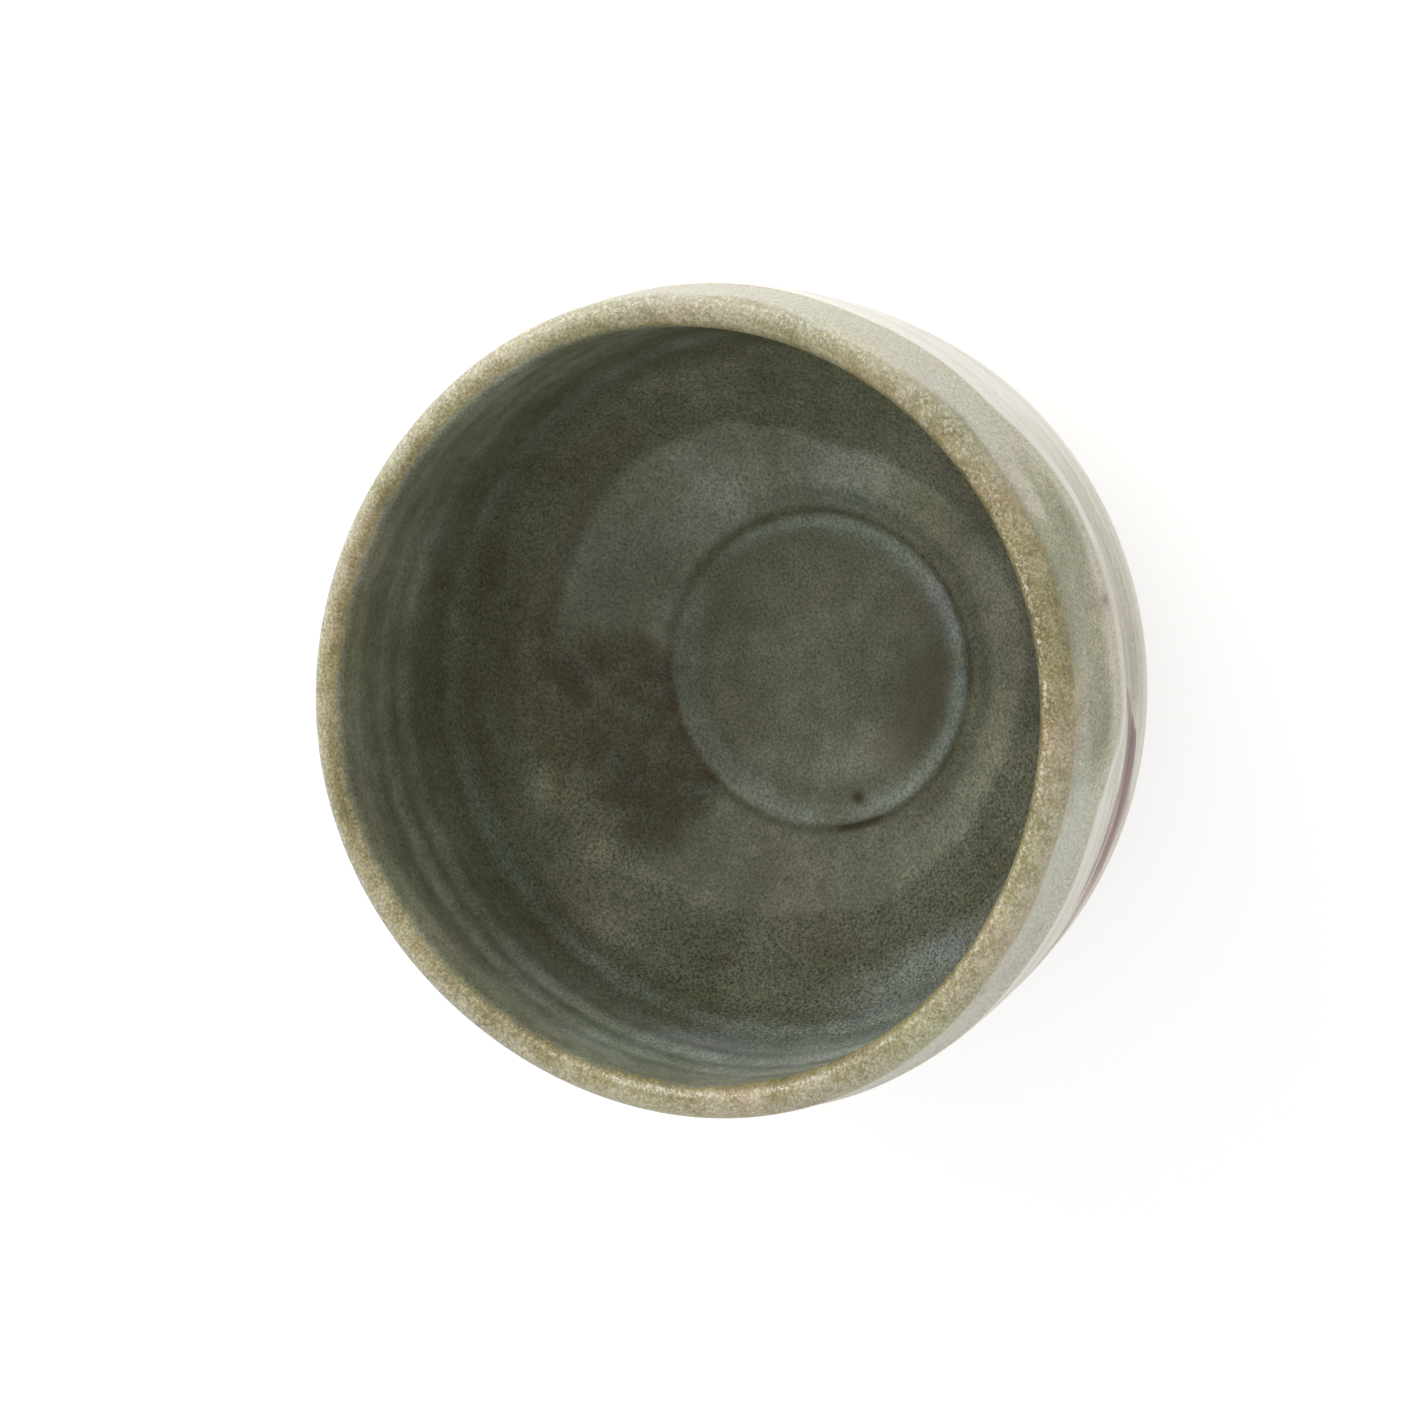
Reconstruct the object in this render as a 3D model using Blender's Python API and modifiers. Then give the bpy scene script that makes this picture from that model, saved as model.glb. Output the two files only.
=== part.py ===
"""Matcha bowl: a thrown stoneware tea bowl on a luted foot ring, with its coats of glaze, slip and colour.

Metres, +Z up. The origin is the centre of the foot's underside, and +Z runs up the bowl's axis.
Every turned piece is a line of (radius, height) points swept once round Z. The finished line is the
surface that a hand meets, from the middle of the tea pool up the inside, over the lip and down the
outside to the glaze line. The clay and the coats are all measured inward from that one line.
"""

import math

import bmesh
import bpy

MM = 0.001

# Finished sizes, with the glaze on
HEIGHT = 72.0 * MM
LIP_RADIUS = 55.5 * MM  # to the middle of the rounded lip
LIP_ROUND = 2.5 * MM  # half the lip's thickness
BELLY_RADIUS = 58.9 * MM  # the widest part of the outside
POOL_RADIUS = 24.2 * MM  # edge of the tea pool, the shallow round recess in the floor
POOL_EDGE_HEIGHT = 16.7 * MM
POOL_DEPTH = 0.9 * MM
POOL_FILLET = 2.2 * MM
GLAZE_LINE_HEIGHT = 13.8 * MM  # the coats end here, and bare clay shows below

# Foot
FOOT_HEIGHT = 7.5 * MM  # from the ground to the clay's underside
FOOT_RADIUS = 28.0 * MM
FOOT_WIDTH = 6.0 * MM
FOOT_TAPER = 0.6 * MM  # how far each side of the ring draws in towards the ground
FOOT_EDGE_ROUND = 0.8 * MM
FOOT_SEAT = 1.3 * MM  # depth of the groove that the ring is luted into
TRIM_NUB_RADIUS = 6.0 * MM  # the low cone that the trimming tool leaves in the middle
TRIM_NUB_DROP = 1.0 * MM

# Coats
COAT = 0.7 * MM
GAP = 0.3 * MM
LIP_COAT_INSIDE = 4.0 * MM  # how far the lip's coat runs down the wall below the rounded lip
LIP_COAT_OUTSIDE = 3.0 * MM
OUTER_COAT_END_HEIGHT = 51.0 * MM  # the grey-green coat's lower edge, over the white slip
STROKE_THICKNESS = 0.4 * MM

# Brushed strokes: start angle and sweep in degrees about Z, and top and bottom heights
STROKES = (
    (-172.5, 67.5, 49.0 * MM, 31.0 * MM),
    (7.5, 60.0, 44.0 * MM, 32.0 * MM),
    (97.5, 45.0, 40.0 * MM, 27.0 * MM),
)

TURN_STEPS = 48
CURVE_STEPS = 3
LIP_STEPS = 6
FILLET_STEPS = 2
FULL_TURN = 360.0


# Lines of (radius, height) points


def smooth_line(points):
    """A smooth curve through the given points, with CURVE_STEPS short runs between each two."""
    last = len(points) - 1
    line = []
    for i in range(last):
        before, start = points[max(i - 1, 0)], points[i]
        end, after = points[i + 1], points[min(i + 2, last)]
        for step in range(CURVE_STEPS):
            t = step / CURVE_STEPS
            line.append(tuple(
                b + 0.5 * ((c - a) * t + (2 * a - 5 * b + 4 * c - d) * t**2 + (3 * b - a - 3 * c + d) * t**3)
                for a, b, c, d in zip(before, start, end, after)
            ))
    line.append(points[-1])
    return line


def arc(centre, radius, start_deg, end_deg, steps):
    """Points round a centre, from one angle to the other."""
    angles = [math.radians(start_deg + (end_deg - start_deg) * i / steps) for i in range(steps + 1)]
    return [(centre[0] + radius * math.cos(a), centre[1] + radius * math.sin(a)) for a in angles]


def shifted(line, distance):
    """The line moved sideways, to the open air when distance is positive. Air is on the left of travel."""
    moved = []
    for i, (radius, height) in enumerate(line):
        before, after = line[max(i - 1, 0)], line[min(i + 1, len(line) - 1)]
        along = (after[0] - before[0], after[1] - before[1])
        length = math.hypot(*along)
        if radius == 0:
            along, length = (1.0, 0.0), 1.0  # a line leaves the axis level
        moved.append((radius - along[1] / length * distance, height + along[0] / length * distance))
    return moved


def lengths_along(line):
    """How far along the line each of its points lies."""
    total = [0.0]
    for start, end in zip(line, line[1:]):
        total.append(total[-1] + math.dist(start, end))
    return total


def stretch(line, start, end):
    """The part of the line between two distances along it."""
    at = lengths_along(line)

    def point(distance):
        i = next(i for i in range(1, len(at)) if distance <= at[i] or i == len(at) - 1)
        t = (distance - at[i - 1]) / (at[i] - at[i - 1])
        return tuple(a + (b - a) * t for a, b in zip(line[i - 1], line[i]))

    margin = 0.1 * MM  # leaves out points that would crowd the new ends
    inner = [p for p, distance in zip(line, at) if start + margin < distance < end - margin]
    return [point(start), *inner, point(end)]


def distance_at_height(line, height):
    """How far along the line its outside comes down to a height."""
    at = lengths_along(line)
    for i in range(len(line) - 1, 0, -1):
        high, low = line[i - 1][1], line[i][1]
        if low <= height <= high:
            return at[i - 1] + (at[i] - at[i - 1]) * (high - height) / (high - low)
    raise ValueError("the line doesn't reach that height on the outside")


def inside_line():
    """The finished inside, from the middle of the tea pool up to the lip."""
    pool_floor = POOL_EDGE_HEIGHT - POOL_DEPTH
    fillet_centre = (POOL_RADIUS - POOL_FILLET, pool_floor + POOL_FILLET)
    fillet_end = -90 + math.degrees(math.acos(1 - POOL_DEPTH / POOL_FILLET))
    wall = smooth_line([
        (POOL_RADIUS, POOL_EDGE_HEIGHT),
        (36.0 * MM, 20.6 * MM),
        (46.2 * MM, 28.0 * MM),
        (51.9 * MM, 38.0 * MM),
        (54.0 * MM, 54.0 * MM),
        (LIP_RADIUS - LIP_ROUND, HEIGHT - LIP_ROUND),
    ])
    return [(0.0, pool_floor), *arc(fillet_centre, POOL_FILLET, -90, fillet_end, FILLET_STEPS), *wall]


def outside_line():
    """The finished outside, from the lip down to the glaze line."""
    return smooth_line([
        (LIP_RADIUS + LIP_ROUND, HEIGHT - LIP_ROUND),
        (BELLY_RADIUS, 57.0 * MM),
        (58.1 * MM, 44.0 * MM),
        (56.0 * MM, 30.0 * MM),
        (51.4 * MM, 20.0 * MM),
        (45.0 * MM, GLAZE_LINE_HEIGHT),
    ])


def finished_line():
    lip_centre = (LIP_RADIUS, HEIGHT - LIP_ROUND)
    lip = arc(lip_centre, LIP_ROUND, 180, 0, LIP_STEPS)
    return [*inside_line(), *lip[1:-1], *outside_line()]


def underside_line():
    """The bare clay from the glaze line in to the axis, with the groove for the foot ring."""
    groove_out = FOOT_RADIUS + GAP
    groove_in = FOOT_RADIUS - FOOT_WIDTH - GAP
    groove_top = FOOT_HEIGHT + FOOT_SEAT
    return [
        (38.5 * MM, 9.8 * MM),
        (30.5 * MM, FOOT_HEIGHT),
        (groove_out, FOOT_HEIGHT),
        (groove_out, groove_top),
        (groove_in, groove_top),
        (groove_in, FOOT_HEIGHT),
        (TRIM_NUB_RADIUS, FOOT_HEIGHT),
        (0.0, FOOT_HEIGHT - TRIM_NUB_DROP),
    ]


# Blender objects


def linear(hex_colour):
    """An sRGB hex colour as linear red, green, blue and alpha."""
    values = [int(hex_colour[i:i + 2], 16) / 255 for i in (0, 2, 4)]
    return (*((v / 12.92 if v <= 0.04045 else ((v + 0.055) / 1.055) ** 2.4) for v in values), 1.0)


def make_material(name, hex_colour, roughness):
    material = bpy.data.materials.new(name)
    material.use_nodes = True
    shader = material.node_tree.nodes["Principled BSDF"]
    shader.inputs["Base Color"].default_value = linear(hex_colour)
    shader.inputs["Roughness"].default_value = roughness
    shader.inputs["Metallic"].default_value = 0.0
    return material


def turned(name, line, material, collection, closed=False, sweep=FULL_TURN):
    """A line of (radius, height) points swept round Z by a Screw modifier."""
    shape = bmesh.new()
    verts = [shape.verts.new((radius, 0.0, height)) for radius, height in line]
    for start, end in zip(verts, verts[1:]):
        shape.edges.new((start, end))
    if closed:
        shape.edges.new((verts[-1], verts[0]))
    mesh = bpy.data.meshes.new(name)
    shape.to_mesh(mesh)
    shape.free()
    mesh.materials.append(material)
    piece = bpy.data.objects.new(name, mesh)
    collection.objects.link(piece)
    screw = piece.modifiers.new("turn", "SCREW")
    screw.angle = math.radians(sweep)
    screw.steps = round(TURN_STEPS * sweep / FULL_TURN)
    screw.render_steps = screw.steps
    screw.use_merge_vertices = sweep == FULL_TURN
    screw.merge_threshold = 0.01 * MM
    screw.use_smooth_shade = True
    return piece


def coat(name, line, thickness, material, collection, sweep=FULL_TURN):
    """A thin coat whose outer face is the given line."""
    piece = turned(name, line, material, collection, sweep=sweep)
    solid = piece.modifiers.new("coat", "SOLIDIFY")
    solid.thickness = thickness
    solid.offset = -1.0
    solid.use_even_offset = True
    return piece


def make_clay_body(finished, collection):
    clay = shifted(finished, -(COAT + GAP))
    line = [*clay, *underside_line()]
    return turned("clay_body", line, make_material("bare_stoneware", "b39a7d", 0.85), collection)


def make_foot_ring(collection):
    top = FOOT_HEIGHT + FOOT_SEAT - GAP
    inner = FOOT_RADIUS - FOOT_WIDTH
    line = [
        (FOOT_RADIUS, top),
        (FOOT_RADIUS - FOOT_TAPER, 0.0),
        (inner + FOOT_TAPER, 0.0),
        (inner, top),
    ]
    material = make_material("foot_stoneware", "a98d6f", 0.85)
    ring = turned("foot_ring", line, material, collection, closed=True)
    edges = ring.modifiers.new("rounded_edges", "BEVEL")
    edges.width = FOOT_EDGE_ROUND
    edges.segments = 2
    edges.limit_method = "ANGLE"
    edges.angle_limit = math.radians(40)
    return ring


def make_glaze_coats(finished, collection):
    """Four coats end to end along the finished line, each a gap short of the next."""
    lip_inside = lengths_along(inside_line())[-1]
    lip_start = lip_inside - LIP_COAT_INSIDE
    lip_end = lip_inside + math.pi * LIP_ROUND + LIP_COAT_OUTSIDE
    outer_end = distance_at_height(finished, OUTER_COAT_END_HEIGHT)
    total = lengths_along(finished)[-1]
    for name, start, end, colour, roughness in (
        ("inner_glaze", 0.0, lip_start, "6c7061", 0.35),
        ("lip_glaze", lip_start + GAP, lip_end, "a99f80", 0.45),
        ("outer_glaze", lip_end + GAP, outer_end, "a3a18c", 0.4),
        ("slip_coat", outer_end + GAP, total, "e6e0d0", 0.4),
    ):
        coat(name, stretch(finished, start, end), COAT, make_material(name, colour, roughness), collection)


def make_plum_strokes(finished, collection):
    """Brushed colour over the slip, each stroke a low patch of its own."""
    over_slip = shifted(finished, GAP + STROKE_THICKNESS)
    material = make_material("plum_colour", "7d565c", 0.45)
    for number, (start_deg, sweep, top, bottom) in enumerate(STROKES, 1):
        line = stretch(over_slip, distance_at_height(over_slip, top), distance_at_height(over_slip, bottom))
        stroke = coat(f"plum_stroke_{number}", line, STROKE_THICKNESS, material, collection, sweep)
        stroke.rotation_euler.z = math.radians(start_deg)


def clear_scene():
    for old in list(bpy.data.objects):
        bpy.data.objects.remove(old, do_unlink=True)


def main():
    clear_scene()
    collection = bpy.data.collections.new("matcha_bowl")
    bpy.context.scene.collection.children.link(collection)
    finished = finished_line()
    make_clay_body(finished, collection)
    make_foot_ring(collection)
    make_glaze_coats(finished, collection)
    make_plum_strokes(finished, collection)


main()
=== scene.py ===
"""The looks of a hand-thrown stoneware matcha bowl: clay, ash glaze, brushed slip and plum strokes.

Metres, +Z up, the foot's underside at height 0. Every turned surface is read off one finished line of
radius and height, which runs from the middle of the tea pool up the inside, over the lip and down the
outside to the foot. A place on the bowl is an angle about Z, a distance along that line and a depth in.
"""

import math

import bmesh
import bpy
import numpy as np
from mathutils import Matrix, Vector


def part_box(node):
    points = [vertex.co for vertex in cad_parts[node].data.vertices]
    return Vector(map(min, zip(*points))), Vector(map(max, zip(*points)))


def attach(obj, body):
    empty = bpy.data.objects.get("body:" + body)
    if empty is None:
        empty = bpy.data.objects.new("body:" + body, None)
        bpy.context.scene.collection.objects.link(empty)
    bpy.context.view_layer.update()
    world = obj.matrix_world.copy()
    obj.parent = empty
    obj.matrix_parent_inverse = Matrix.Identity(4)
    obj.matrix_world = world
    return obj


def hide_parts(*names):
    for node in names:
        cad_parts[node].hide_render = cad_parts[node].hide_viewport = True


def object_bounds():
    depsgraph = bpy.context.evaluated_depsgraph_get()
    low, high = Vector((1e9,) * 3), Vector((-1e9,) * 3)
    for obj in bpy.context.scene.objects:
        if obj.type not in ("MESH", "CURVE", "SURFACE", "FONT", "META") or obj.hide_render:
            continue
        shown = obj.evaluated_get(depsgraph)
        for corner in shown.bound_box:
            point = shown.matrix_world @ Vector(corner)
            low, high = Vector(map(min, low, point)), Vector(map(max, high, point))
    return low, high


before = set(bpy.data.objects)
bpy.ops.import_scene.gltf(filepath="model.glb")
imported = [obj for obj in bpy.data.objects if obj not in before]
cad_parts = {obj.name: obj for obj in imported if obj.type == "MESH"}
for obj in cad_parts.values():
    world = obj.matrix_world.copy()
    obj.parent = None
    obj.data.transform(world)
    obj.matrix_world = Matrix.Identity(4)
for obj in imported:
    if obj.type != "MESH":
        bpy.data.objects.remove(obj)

MM = 0.001
CAD_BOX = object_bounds()

# Sizes that the frame gives
HEIGHT = CAD_BOX[1].z
FOOT_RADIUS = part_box("foot_ring")[1].x
BELLY_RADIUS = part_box("outer_glaze")[1].x

# Sizes of the finished surface
LIP_RADIUS = 55.5 * MM
LIP_ROUND = 2.5 * MM
POOL_RADIUS = 24.2 * MM
POOL_EDGE_HEIGHT = 16.7 * MM
POOL_DEPTH = 0.9 * MM
POOL_FILLET = 2.6 * MM
FOOT_HEIGHT = 7.5 * MM
FOOT_WIDTH = 6.0 * MM
FOOT_SEAT = 1.0 * MM  # how deep the foot stands in its groove
SEAT_GAP = 0.1 * MM  # between the foot and its groove
COAT = 0.7 * MM  # thickness of each coat

AROUND = 360  # steps of a full turn
ROW = 0.5 * MM  # spacing of the rows that show
LIP_ROW = 0.35 * MM  # and on the lip
BARE_ROW = 0.45 * MM  # and on the bare clay
HIDDEN_ROW = 2.5 * MM  # spacing of the rows that are hidden
FULL_TURN = 2 * math.pi
SHARP_EDGE = math.radians(50)


# The finished line


def curve_through(points, steps=40):
    """A smooth curve through the points, as an array."""
    last = len(points) - 1
    p = np.array(points, float)
    t = np.linspace(0, 1, steps, endpoint=False)[:, None]
    spans = []
    for i in range(last):
        a, b, c, d = p[max(i - 1, 0)], p[i], p[i + 1], p[min(i + 2, last)]
        spans.append(b + 0.5 * (
            (c - a) * t + (2 * a - 5 * b + 4 * c - d) * t**2 + (3 * b - a - 3 * c + d) * t**3
        ))
    return np.vstack([*spans, p[-1:]])


def arc(centre, radius, start_deg, end_deg, steps=24):
    """Points round a centre, from one angle to the other."""
    angle = np.radians(np.linspace(start_deg, end_deg, steps + 1))
    return np.stack([centre[0] + radius * np.cos(angle), centre[1] + radius * np.sin(angle)], 1)


def finished_line():
    """The points of the finished line, and which of them is the lip's crest."""
    pool_floor = POOL_EDGE_HEIGHT - POOL_DEPTH
    climb = math.acos(1 - POOL_DEPTH / POOL_FILLET)
    fillet_middle = (POOL_RADIUS - POOL_FILLET * math.sin(climb), pool_floor + POOL_FILLET)
    pool = np.vstack([[(0.0, pool_floor)], arc(fillet_middle, POOL_FILLET, -90, -90 + math.degrees(climb))])
    inside = curve_through([
        (POOL_RADIUS + 0.6 * MM, POOL_EDGE_HEIGHT + 0.3 * MM),
        (36.0 * MM, 20.6 * MM),
        (46.2 * MM, 28.0 * MM),
        (51.9 * MM, 38.0 * MM),
        (54.0 * MM, 54.0 * MM),
        (LIP_RADIUS - LIP_ROUND, HEIGHT - LIP_ROUND),
    ])
    lip = arc((LIP_RADIUS, HEIGHT - LIP_ROUND), LIP_ROUND, 180, 0, steps=48)
    outside = curve_through([
        (LIP_RADIUS + LIP_ROUND, HEIGHT - LIP_ROUND),
        (BELLY_RADIUS, 57.0 * MM),
        (58.1 * MM, 44.0 * MM),
        (56.0 * MM, 30.0 * MM),
        (51.4 * MM, 20.0 * MM),
        (45.0 * MM, 13.8 * MM),
        (38.5 * MM, 9.3 * MM),
        (30.5 * MM, 6.8 * MM),
    ])
    crest = len(pool) + len(inside) - 1 + len(lip) // 2
    return np.vstack([pool, inside[:-1], lip, outside[1:]]), crest


LINE, CREST_INDEX = finished_line()
LINE_AT = np.concatenate([[0], np.cumsum(np.hypot(*np.diff(LINE, axis=0).T))])
CREST = LINE_AT[CREST_INDEX]
POOL_RIM = np.interp(POOL_RADIUS, LINE[:CREST_INDEX, 0], LINE_AT[:CREST_INDEX])
LIP_EDGE = math.pi / 2 * LIP_ROUND  # from the crest to where the lip's round meets a wall
LIP_START = CREST - LIP_EDGE - 3.5 * MM
LIP_END = CREST + LIP_EDGE + 2.5 * MM


def on_line(along):
    """Radius, height and the way to the open air, at distances along the finished line."""
    reach = 0.4 * MM
    before, after = np.clip(along - reach, 0, None), np.clip(along + reach, None, LINE_AT[-1])
    places = [np.interp(at, LINE_AT, LINE[:, i]) for at in (before, along, after) for i in (0, 1)]
    run, rise = places[4] - places[0], places[5] - places[1]
    length = np.hypot(run, rise)
    return places[2], places[3], -rise / length, run / length


def outside_at_height(height):
    """Distance along the line to where its outside passes a height."""
    return np.interp(-np.asarray(height), -LINE[CREST_INDEX:, 1], LINE_AT[CREST_INDEX:])


# Patterns that the potter's hand leaves


def step(low, high, value):
    """0 below low, 1 above high, and smooth between them."""
    t = np.clip((value - low) / (high - low), 0, 1)
    return t * t * (3 - 2 * t)


def hump(value, centre, width):
    """1 at the centre, falling away over about the width."""
    return np.exp(-(((value - centre) / width) ** 2))


def turn_from(angle, centre_deg):
    """How far an angle is turned from a direction, in degrees, the short way round."""
    return (np.degrees(angle) - centre_deg + 180) % 360 - 180


def between(angle, start_deg, end_deg, soft_deg):
    """1 from one direction round to another, with soft ends."""
    past = (np.degrees(angle) - start_deg) % 360
    length = (end_deg - start_deg) % 360
    past = np.where(past > (length + 360) / 2, past - 360, past)
    return step(-soft_deg, soft_deg, past) * (1 - step(length - soft_deg, length + soft_deg, past))


def ring_of(points, angle):
    """A smooth closed curve through (degrees, value) points, read at angles."""
    at, value = np.array(sorted((a % 360, v) for a, v in points)).T
    at = np.concatenate([at - 360, at, at + 360])
    value = np.tile(value, 3)
    turned = np.degrees(angle) % 360
    i = np.searchsorted(at, turned, side="right") - 1
    t = (turned - at[i]) / (at[i + 1] - at[i])
    t = t * t * (3 - 2 * t)
    return value[i] * (1 - t) + value[i + 1] * t


def waver(angle, along, seed, size, lobes=5, length=25 * MM):
    """A gentle unevenness round and along the wall, of about the given size."""
    rng = np.random.default_rng(seed)
    total = np.zeros(np.shape(angle))
    for lobe in range(1, lobes + 1):
        phase, slope, share = rng.uniform(0, FULL_TURN), rng.uniform(-1, 1), rng.uniform(0.4, 1)
        total = total + share * np.sin(lobe * angle + phase + slope * FULL_TURN * along / length)
    return size * total / math.sqrt(lobes)


# The throwing rings' height and spacing
RING_IN, RING_SPACING_IN = 0.12 * MM, 6.6 * MM
RING_OUT, RING_SPACING_OUT = 0.13 * MM, 8.3 * MM


def shape_by_hand(angle, along):
    """How far the thrown wall stands from the finished line, towards the air."""
    inside, outside = CREST - along, along - CREST
    turns = angle / FULL_TURN
    floor = CREST - POOL_RIM
    wall_in = step(5 * MM, 12 * MM, inside) * (1 - step(26 * MM, 38 * MM, inside))
    floor_in = step(40 * MM, 50 * MM, inside) * (1 - step(floor - 6 * MM, floor - 1 * MM, inside))
    wall_out = step(6 * MM, 14 * MM, outside)
    rings_in = RING_IN * np.sin(FULL_TURN * (inside / RING_SPACING_IN + turns))
    rings_out = RING_OUT * np.sin(FULL_TURN * (outside / RING_SPACING_OUT - turns))
    hip_ridge = 0.10 * MM * hump(inside, 36.5 * MM, 1.6 * MM)
    uneven = waver(angle, along, 3, 0.10 * MM)
    soft = waver(angle, along, 4, 0.04 * MM, lobes=3, length=60 * MM)
    within = (rings_in + uneven) * wall_in + hip_ridge + soft * floor_in
    return np.where(along < CREST, within, (rings_out + uneven) * wall_out)


MOUTH_WOBBLE = ((2, 0.45, -30), (3, 0.33, -45), (4, 0.25, 0))  # lobes, mm, and where the first lobe points


def lean(angle, height):
    """How far the mouth is out of round, fading towards the foot."""
    share = step(18 * MM, HEIGHT, height)
    return share * sum(size * MM * np.cos(n * (angle - math.radians(at))) for n, size, at in MOUTH_WOBBLE)


def place(angle, along, depth):
    """Points of the bowl at angles round it, distances along the finished line and depths into the clay."""
    radius, height, out_r, out_z = on_line(along)
    off_axis = step(0, 3 * MM, radius)
    lift = shape_by_hand(angle, along) - depth
    lip_rise = waver(angle, 0, 8, 0.22 * MM, lobes=4) * step(HEIGHT - 12 * MM, HEIGHT, height)
    radius = radius + (out_r * lift + lean(angle, height)) * off_axis
    height = height + out_z * lift + lip_rise
    return np.stack([radius * np.cos(angle), radius * np.sin(angle), height], 1)


# Meshes


def spun(name, outline, closed, along=None, depth=None):
    """A piece made by spinning an outline of (radius, height) points once round Z."""
    shape = bmesh.new()
    layers = [shape.verts.layers.float.new(layer) for layer in ("along", "depth")]
    verts = [shape.verts.new((radius, 0.0, height)) for radius, height in outline]
    if along is not None:
        for vert, *values in zip(verts, along, depth):
            for layer, value in zip(layers, values):
                vert[layer] = value
    following = [*verts[1:], verts[0]] if closed else verts[1:]
    edges = [shape.edges.new(pair) for pair in zip(verts, following)]
    bmesh.ops.spin(shape, geom=verts + edges, axis=(0, 0, 1), angle=FULL_TURN, steps=AROUND, use_merge=True)
    return finished_piece(name, shape)


def spun_coat(name, start, end, row=ROW):
    """A coat over the finished line from start to end: its face, and its back the other way."""
    face = np.linspace(start, end, round((end - start) / row) + 1)
    back = np.linspace(end, start, round((end - start) / HIDDEN_ROW) + 1)
    along = np.concatenate([face, back])
    depth = np.concatenate([np.zeros(len(face)), np.full(len(back), COAT)])
    radius, height, out_r, out_z = on_line(along)
    outline = np.stack([np.where(along > 0, radius - out_r * depth, 0), height - out_z * depth], 1)
    return spun(name, outline, closed=start > 0, along=along, depth=depth)


def finished_piece(name, shape):
    """The object of a bmesh, merged at its seam and with its faces pointing out."""
    bmesh.ops.remove_doubles(shape, verts=shape.verts, dist=0.001 * MM)
    bmesh.ops.recalc_face_normals(shape, faces=shape.faces)
    mesh = bpy.data.meshes.new(name)
    shape.to_mesh(mesh)
    shape.free()
    piece = bpy.data.objects.new(name, mesh)
    bpy.context.scene.collection.objects.link(piece)
    return piece


def get_field(mesh, name):
    """A float attribute of each point."""
    values = np.zeros(len(mesh.vertices), np.float32)
    mesh.attributes[name].data.foreach_get("value", values)
    return values.astype(float)


def set_field(mesh, name, values):
    mesh.attributes.new(name, "FLOAT", "POINT").data.foreach_set("value", values.astype(np.float32))


def get_points(mesh):
    points = np.zeros(len(mesh.vertices) * 3, np.float32)
    mesh.vertices.foreach_get("co", points)
    return points.reshape(-1, 3).astype(float)


def move_points(mesh, points):
    """Moves every point, then shades the mesh smooth but for its sharp edges."""
    mesh.vertices.foreach_set("co", points.astype(np.float32).ravel())
    mesh.update()
    mesh.shade_smooth()
    mesh.set_sharp_from_angle(angle=SHARP_EDGE)


def on_bowl(mesh):
    """Each point's angle about Z, distance along the finished line and depth into the clay."""
    points = get_points(mesh)
    return np.arctan2(points[:, 1], points[:, 0]), get_field(mesh, "along"), get_field(mesh, "depth")


# Materials


def linear(hex_colour):
    """An sRGB hex colour as linear red, green, blue and alpha."""
    values = [int(hex_colour[i:i + 2], 16) / 255 for i in (0, 2, 4)]
    return (*((v / 12.92 if v <= 0.04045 else ((v + 0.055) / 1.055) ** 2.4) for v in values), 1.0)


def feed(tree, node, inputs):
    """Sets each input of a node, by order or by name, to a value or to the node or socket that feeds it."""
    sockets = [socket for socket in node.inputs if socket.enabled]
    for key, value in inputs.items() if isinstance(inputs, dict) else enumerate(inputs):
        socket = sockets[key] if isinstance(key, int) else next(s for s in sockets if s.name == key)
        if isinstance(value, bpy.types.Node):
            value = next(s for s in value.outputs if s.enabled)
        if isinstance(value, bpy.types.NodeSocket):
            tree.links.new(value, socket)
        else:
            socket.default_value = linear(value) if isinstance(value, str) else value


def add(tree, kind, inputs=(), stops=(), **settings):
    """Adds a node with its settings, its inputs and, on a colour ramp, its (position, colour) stops."""
    node = tree.nodes.new("ShaderNode" + kind)
    for name, value in settings.items():
        setattr(node, name, value)
    feed(tree, node, inputs)
    for index, (position, colour) in enumerate(stops):
        elements = node.color_ramp.elements
        stop = elements[index] if index < 2 else elements.new(position)
        stop.position, stop.color = position, linear(colour)
    return node


def new_material(name):
    """A material with its node tree, its shader and the place on the piece, in metres."""
    material = bpy.data.materials.new(name)
    material.use_nodes = True
    tree = material.node_tree
    return material, tree, tree.nodes["Principled BSDF"], add(tree, "TexCoord").outputs["Object"]


GLASS_IOR = 1.52  # clear glaze
MATT_GLAZE_IOR = 1.46  # ash glaze, whose surface is dulled by fine crystals
SMOOTH = {"interpolation_type": "SMOOTHSTEP"}
COLOUR = {"data_type": "RGBA"}

# Shades from thin to thick, or from dark to pale: position and colour, the two ends first
CLEAR_SHADES = (
    (0.0, "38361f"), (1.0, "d0cab7"), (0.12, "48452f"), (0.3, "5d5a41"), (0.45, "6a6951"), (0.6, "7b7a61"),
    (0.75, "979579"), (0.88, "b1aa8e"),
)
MILKY_SHADES = ((0.0, "444940"), (1.0, "cacdbf"), (0.45, "6b756a"), (0.75, "99a196"))
SLIP_SHADES = ((0.1, "aca38d"), (1.0, "f3efe5"), (0.4, "c4bca7"), (0.65, "dbd5c4"), (0.9, "eae5d7"))
PLUM_SHADES = ((0.1, "b08a78"), (1.0, "4c1722"), (0.55, "7f3f40"))
TAN_SHADES = ((0.40, "575032"), (1.0, "b6b093"), (0.58, "7f7549"), (0.76, "978d67"), (0.90, "a8a180"))
IRON_SHADE = "513b18"
CRYSTAL_SHADE = "dfdbc8"
SAND_SHADE = "6b5238"
PALE_GROG, DARK_GROG = "cdb995", "4a3322"
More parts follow.
